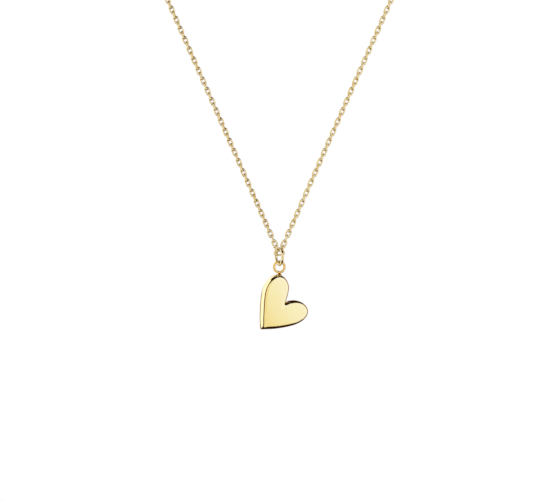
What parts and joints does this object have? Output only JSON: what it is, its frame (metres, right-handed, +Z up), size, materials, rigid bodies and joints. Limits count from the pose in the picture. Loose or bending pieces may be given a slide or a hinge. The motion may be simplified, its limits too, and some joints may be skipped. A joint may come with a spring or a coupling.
{
  "type": "pendant necklace",
  "caption": "Pendant necklace: small flat heart on a loop and jump ring, fine oval-link cable chain, lobster clasp and extender chain.",
  "frame": {"origin": "middle of the neck loop at its highest level, where it rests on a neck or bust", "axes": "+X to the right seen from the front, -Y towards the front where the heart hangs, +Z up"},
  "size_m": [0.0974, 0.073, 0.1267],
  "materials": {
    "chain_gold": "polished gold plate",
    "polished_gold": "mirror polished gold plate",
    "loop_gold": "polished gold plate",
    "ring_gold": "polished gold plate",
    "clasp_gold": "polished gold plate",
    "extender_gold": "polished gold plate",
    "spring_steel": "spring steel"
  },
  "bodies": {
    "neck_half": {"side_left": "chain_gold", "side_right": "chain_gold", "turn_left": "chain_gold", "turn_right": "chain_gold", "back_left": "chain_gold", "back_right": "chain_gold", "clasp_body": "clasp_gold", "clasp_rivet": "clasp_gold", "clasp_spring": "spring_steel", "left_end_ring": "ring_gold", "right_end_ring": "ring_gold", "closing_ring": "ring_gold"},
    "drape_1": {"front_left_1": "chain_gold", "front_right_1": "chain_gold"},
    "drape_2": {"front_left_2": "chain_gold", "front_right_2": "chain_gold"},
    "drape_3": {"front_left_3": "chain_gold", "front_right_3": "chain_gold"},
    "drape_4": {"front_left_4": "chain_gold", "front_right_4": "chain_gold"},
    "drape_5": {"front_left_5": "chain_gold", "front_right_5": "chain_gold"},
    "drape_6": {"front_left_6": "chain_gold", "front_right_6": "chain_gold"},
    "drape_7": {"front_left_7": "chain_gold", "front_right_7": "chain_gold"},
    "drape_8": {"front_left_8": "chain_gold", "front_right_8": "chain_gold", "centre_side_links": "chain_gold", "centre_link": "chain_gold"},
    "jump": {"jump_ring": "ring_gold"},
    "heart": {"heart_body": "polished_gold", "heart_loop": "loop_gold", "heart_solder": "loop_gold"},
    "lever": {"clasp_lever": "clasp_gold"},
    "tail_1": {"extender_1": "extender_gold"},
    "tail_2": {"extender_2": "extender_gold"},
    "tail_3": {"extender_3": "extender_gold"},
    "tail_4": {"extender_4": "extender_gold"},
    "tail_5": {"extender_5": "extender_gold"},
    "tail_6": {"extender_6": "extender_gold"},
    "ball": {"end_ball": "extender_gold"}
  },
  "joints": [
    {"name": "drape_1_swing", "type": "hinge", "parent": "neck_half", "child": "drape_1", "pos_m": [0, -0.03, -0.02877], "axis": [1, 0, 0], "range_deg": [-22, 12]},
    {"name": "drape_2_swing", "type": "hinge", "parent": "drape_1", "child": "drape_2", "pos_m": [0, -0.03, -0.03894], "axis": [1, 0, 0], "range_deg": [-22, 12]},
    {"name": "drape_3_swing", "type": "hinge", "parent": "drape_2", "child": "drape_3", "pos_m": [0, -0.03, -0.04911], "axis": [1, 0, 0], "range_deg": [-22, 12]},
    {"name": "drape_4_swing", "type": "hinge", "parent": "drape_3", "child": "drape_4", "pos_m": [0, -0.03, -0.05928], "axis": [1, 0, 0], "range_deg": [-22, 12]},
    {"name": "drape_5_swing", "type": "hinge", "parent": "drape_4", "child": "drape_5", "pos_m": [0, -0.03, -0.06945], "axis": [1, 0, 0], "range_deg": [-22, 12]},
    {"name": "drape_6_swing", "type": "hinge", "parent": "drape_5", "child": "drape_6", "pos_m": [0, -0.03, -0.07962], "axis": [1, 0, 0], "range_deg": [-22, 12]},
    {"name": "drape_7_swing", "type": "hinge", "parent": "drape_6", "child": "drape_7", "pos_m": [0, -0.03, -0.08979], "axis": [1, 0, 0], "range_deg": [-22, 12]},
    {"name": "drape_8_swing", "type": "hinge", "parent": "drape_7", "child": "drape_8", "pos_m": [0, -0.03, -0.09996], "axis": [1, 0, 0], "range_deg": [-22, 12]},
    {"name": "jump_ring_swing", "type": "hinge", "parent": "drape_8", "child": "jump", "pos_m": [0, -0.03, -0.10884], "axis": [0.9135, 0.4067, 0], "range_deg": [-30, 30]},
    {"name": "heart_swing", "type": "hinge", "parent": "jump", "child": "heart", "pos_m": [0, -0.03, -0.11155], "axis": [0.2079, -0.9781, 0], "range_deg": [-45, 45]},
    {"name": "clasp_lever_open", "type": "hinge", "parent": "neck_half", "child": "lever", "pos_m": [-0.00286, 0.03836, 0], "axis": [0, 0, -1], "range_deg": [0, 28], "stiffness_Nm_per_rad": 0.001, "springref_deg": -11.46, "deforming": ["clasp_spring"]},
    {"name": "extender_1_swing", "type": "hinge", "parent": "neck_half", "child": "tail_1", "pos_m": [0.00384, 0.03816, -0.0019], "axis": [1, 0, 0], "range_deg": [-25, 25]},
    {"name": "extender_2_swing", "type": "hinge", "parent": "tail_1", "child": "tail_2", "pos_m": [0.00384, 0.03816, -0.0086], "axis": [0, 1, 0], "range_deg": [-25, 25]},
    {"name": "extender_3_swing", "type": "hinge", "parent": "tail_2", "child": "tail_3", "pos_m": [0.00384, 0.03816, -0.01535], "axis": [1, 0, 0], "range_deg": [-25, 25]},
    {"name": "extender_4_swing", "type": "hinge", "parent": "tail_3", "child": "tail_4", "pos_m": [0.00384, 0.03816, -0.0221], "axis": [0, 1, 0], "range_deg": [-25, 25]},
    {"name": "extender_5_swing", "type": "hinge", "parent": "tail_4", "child": "tail_5", "pos_m": [0.00384, 0.03816, -0.02885], "axis": [1, 0, 0], "range_deg": [-25, 25]},
    {"name": "extender_6_swing", "type": "hinge", "parent": "tail_5", "child": "tail_6", "pos_m": [0.00384, 0.03816, -0.0356], "axis": [0, 1, 0], "range_deg": [-25, 25]},
    {"name": "end_ball_swing", "type": "hinge", "parent": "tail_6", "child": "ball", "pos_m": [0.00384, 0.03816, -0.04235], "axis": [1, 0, 0], "range_deg": [-35, 35]}
  ]
}
